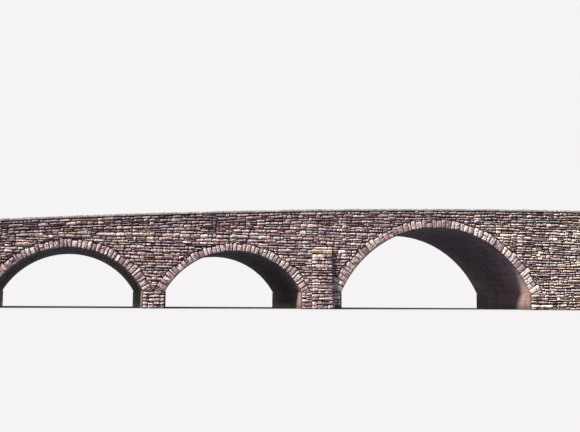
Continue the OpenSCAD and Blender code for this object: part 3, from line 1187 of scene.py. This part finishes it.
def lay_coping(side, material):
    """Separate slabs along the parapet, none quite in line with the next."""
    out = OUT[side]
    edges = [-END_X - COPING_OVERHANG, *(limit for _, limit in BAYS)]
    middle_y = (CORE_Y + FACE_Y) / 2
    for (bay, _), start, end in zip(BAYS, edges, edges[1:]):
        count = round((end - start) / SLAB_L)
        cuts = np.linspace(start, end, count + 1)
        cuts[1:-1] += random.uniform(-SLAB_UNEVEN, SLAB_UNEVEN, count - 1)
        x0, x1 = cuts[:-1] + SLAB_JOINT / 2, cuts[1:] - SLAB_JOINT / 2
        slip = random.uniform(-SLAB_SLIP, SLAB_SLIP, count)
        top = COPING_T + random.uniform(*SLAB_TOP, count)
        low = np.stack([x0, CORE_Y - COPING_OVERHANG + slip, np.zeros(count)], axis=1)
        high = np.stack([x1, FACE_Y + COPING_OVERHANG + slip, top], axis=1)
        points, one = blocks_of(low, high, columns=9, rows=9, layers=7, chamfer=0.012)
        # The upper arrises are worn back
        worn = np.clip(points[..., 2] / COPING_T * 2 - 1, 0, 1) ** 1.5 * COPING_WEAR
        points[..., 1] -= worn * (points[..., 1] - middle_y) / (FACE_Y + COPING_OVERHANG - middle_y)
        points[..., 2] += wall_top(points[..., 0])
        points[..., 1] *= out
        centre = (x0 + x1) / 2
        finish = finish_of(centre, wall_top(centre), top_grime=False)
        finish[:, 2] = np.clip(random.normal(*SLAB_GRIME, count), 0, 0.4)
        name = f"coping_slabs_{bay}_{side}"
        slabs = piece(name, points, one, finish, material, turned=out < 0)
        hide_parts(f"coping_{bay}_{side}")


# Corner stones at the ends of the walls: height, least height of the highest, length of the
# long and short ones, and how far they pass the wall's inner face, end and outer face
END_HEIGHT = (0.17, 0.25)
END_LEAST = 0.13
END_LONG = (0.42, 0.56)
END_SHORT = (0.24, 0.32)
END_INNER = 0.015
END_PROUD = (0.015, 0.035)
END_OUTER = (0.045, 0.066)
# Their tone is this share of the wall's, and they have at least some of this grime colour: both darken
# them as painted shade against the strong sun on the end faces
END_TONE = 0.6
END_PAINTED_SHADE = (0.1, 0.4)


def lay_ends(material):
    """Corner stones up the four ends of the walls."""
    for end, end_name in ((-1, "left"), (1, "right")):
        for side, out in OUT.items():
            top = wall_top(end * END_X)
            low, high = end_corners(top)
            points, one = blocks_of(low, high, relief=0.010)
            # The beds turn with the slope of the wall's top
            points[..., 2] += (wall_top(end * points[..., 0]) - top) * points[..., 2] / top
            points[..., 0] *= end
            points[..., 1] *= out
            finish = finish_of(np.full(len(low), end * END_X), (low[:, 2] + high[:, 2]) / 2)
            # Painted shade: the end stones are darkened in tone and grime
            finish[:, 1] *= END_TONE
            finish[:, 2] = np.maximum(finish[:, 2], random.uniform(*END_PAINTED_SHADE, len(low)))
            name = f"end_stones_{end_name}_{side}"
            turned = end * out < 0
            piece(name, points, one, finish, material, turned)


def end_corners(top):
    """Low and high corners of the stones of one end, long and short ones in turn."""
    low, high = [], []
    z, long = 0.0, True
    while top - z > TINY:
        height = random.uniform(*END_HEIGHT)
        if top - (z + height) < END_LEAST:
            height = top - z
        inward = random.uniform(*(END_LONG if long else END_SHORT))
        x1, y1 = END_X + random.uniform(*END_PROUD), FACE_Y + random.uniform(*END_OUTER)
        low.append((END_X - inward, CORE_Y - END_INNER, z + JOINT / 2))
        high.append((x1, y1, z + height - JOINT / 2))
        z += height
        long = not long
    return np.array(low), np.array(high)


# Camera, floor and light


def set_camera():
    data = bpy.data.cameras.new("camera")
    data.sensor_width = CAMERA_SENSOR
    data.lens = CAMERA_LENS
    data.clip_end = CAMERA_REACH
    camera = in_scene("camera", data)
    stand = Matrix.Translation(CAMERA_AT)
    for angle, axis in ((-CAMERA_YAW, "Z"), (90 + CAMERA_PITCH, "X"), (CAMERA_ROLL, "Z")):
        stand @= Matrix.Rotation(math.radians(angle), 4, axis)
    camera.matrix_world = stand
    bpy.context.scene.camera = camera


def seen_ray(tree):
    """1 for rays from the camera, or that a surface reflects or lets through."""
    path = add(tree, "LightPath")
    seen = maths(tree, "MAXIMUM", path.outputs["Is Camera Ray"], path.outputs["Is Glossy Ray"])
    return maths(tree, "MAXIMUM", seen, path.outputs["Is Transmission Ray"])


def set_floor():
    bpy.ops.mesh.primitive_plane_add(size=FLOOR_SIZE, location=(0, 0, FLOOR_Z))
    floor = bpy.context.object
    floor.name = "floor"
    material, tree, shader = new_material("floor")
    colour = mix(tree, seen_ray(tree), FLOOR_LIGHT, FLOOR_SEEN)
    feed(tree, shader.inputs["Base Color"], colour)
    shader.inputs["Roughness"].default_value = 1.0
    shader.inputs["Specular IOR Level"].default_value = 0.0
    floor.data.materials.append(material)


def set_sky():
    world = bpy.data.worlds.new("sky")
    world.use_nodes = True
    tree = world.node_tree
    background = next(n for n in tree.nodes if n.type == "BACKGROUND")
    seen = seen_ray(tree)
    colour = mix(tree, seen, SKY_LIGHT, SKY_SEEN)
    feed(tree, background.inputs["Color"], colour)
    feed(tree, background.inputs["Strength"], remap(tree, seen, (0, 1), (SKY_STRENGTH, 1.0)))
    bpy.context.scene.world = world
    bpy.context.scene.view_settings.view_transform = "Standard"


def set_sun():
    sun = bpy.data.lights.new("sun", "SUN")
    sun.energy = SUN_STRENGTH
    sun.angle = math.radians(SUN_DISC)
    sun.color = SUN_COLOUR
    lamp = in_scene("sun", sun)
    lamp.rotation_euler = (math.radians(90 - SUN_HEIGHT), 0, math.radians(-SUN_AZIMUTH))


set_camera()
set_floor()
set_sky()
set_sun()
dress_nodes()
rubble = stone_material("rubble_limestone", LIMESTONE)
ring_stone = stone_material("ring_stone", RING_STONE, dark=0.68, light=1.44)
coping_stone = stone_material("coping_stone", COPING_STONE, dark=0.80, light=1.06)
for side in OUT:
    lay_wall(side, rubble)
    lay_parapet_inside(side, rubble)
    for arch in ARCHES:
        lay_ring(arch, side, ring_stone)
    lay_pilaster(side, rubble)
    lay_cap(side, rubble)
    lay_coping(side, coping_stone)
lay_ends(rubble)
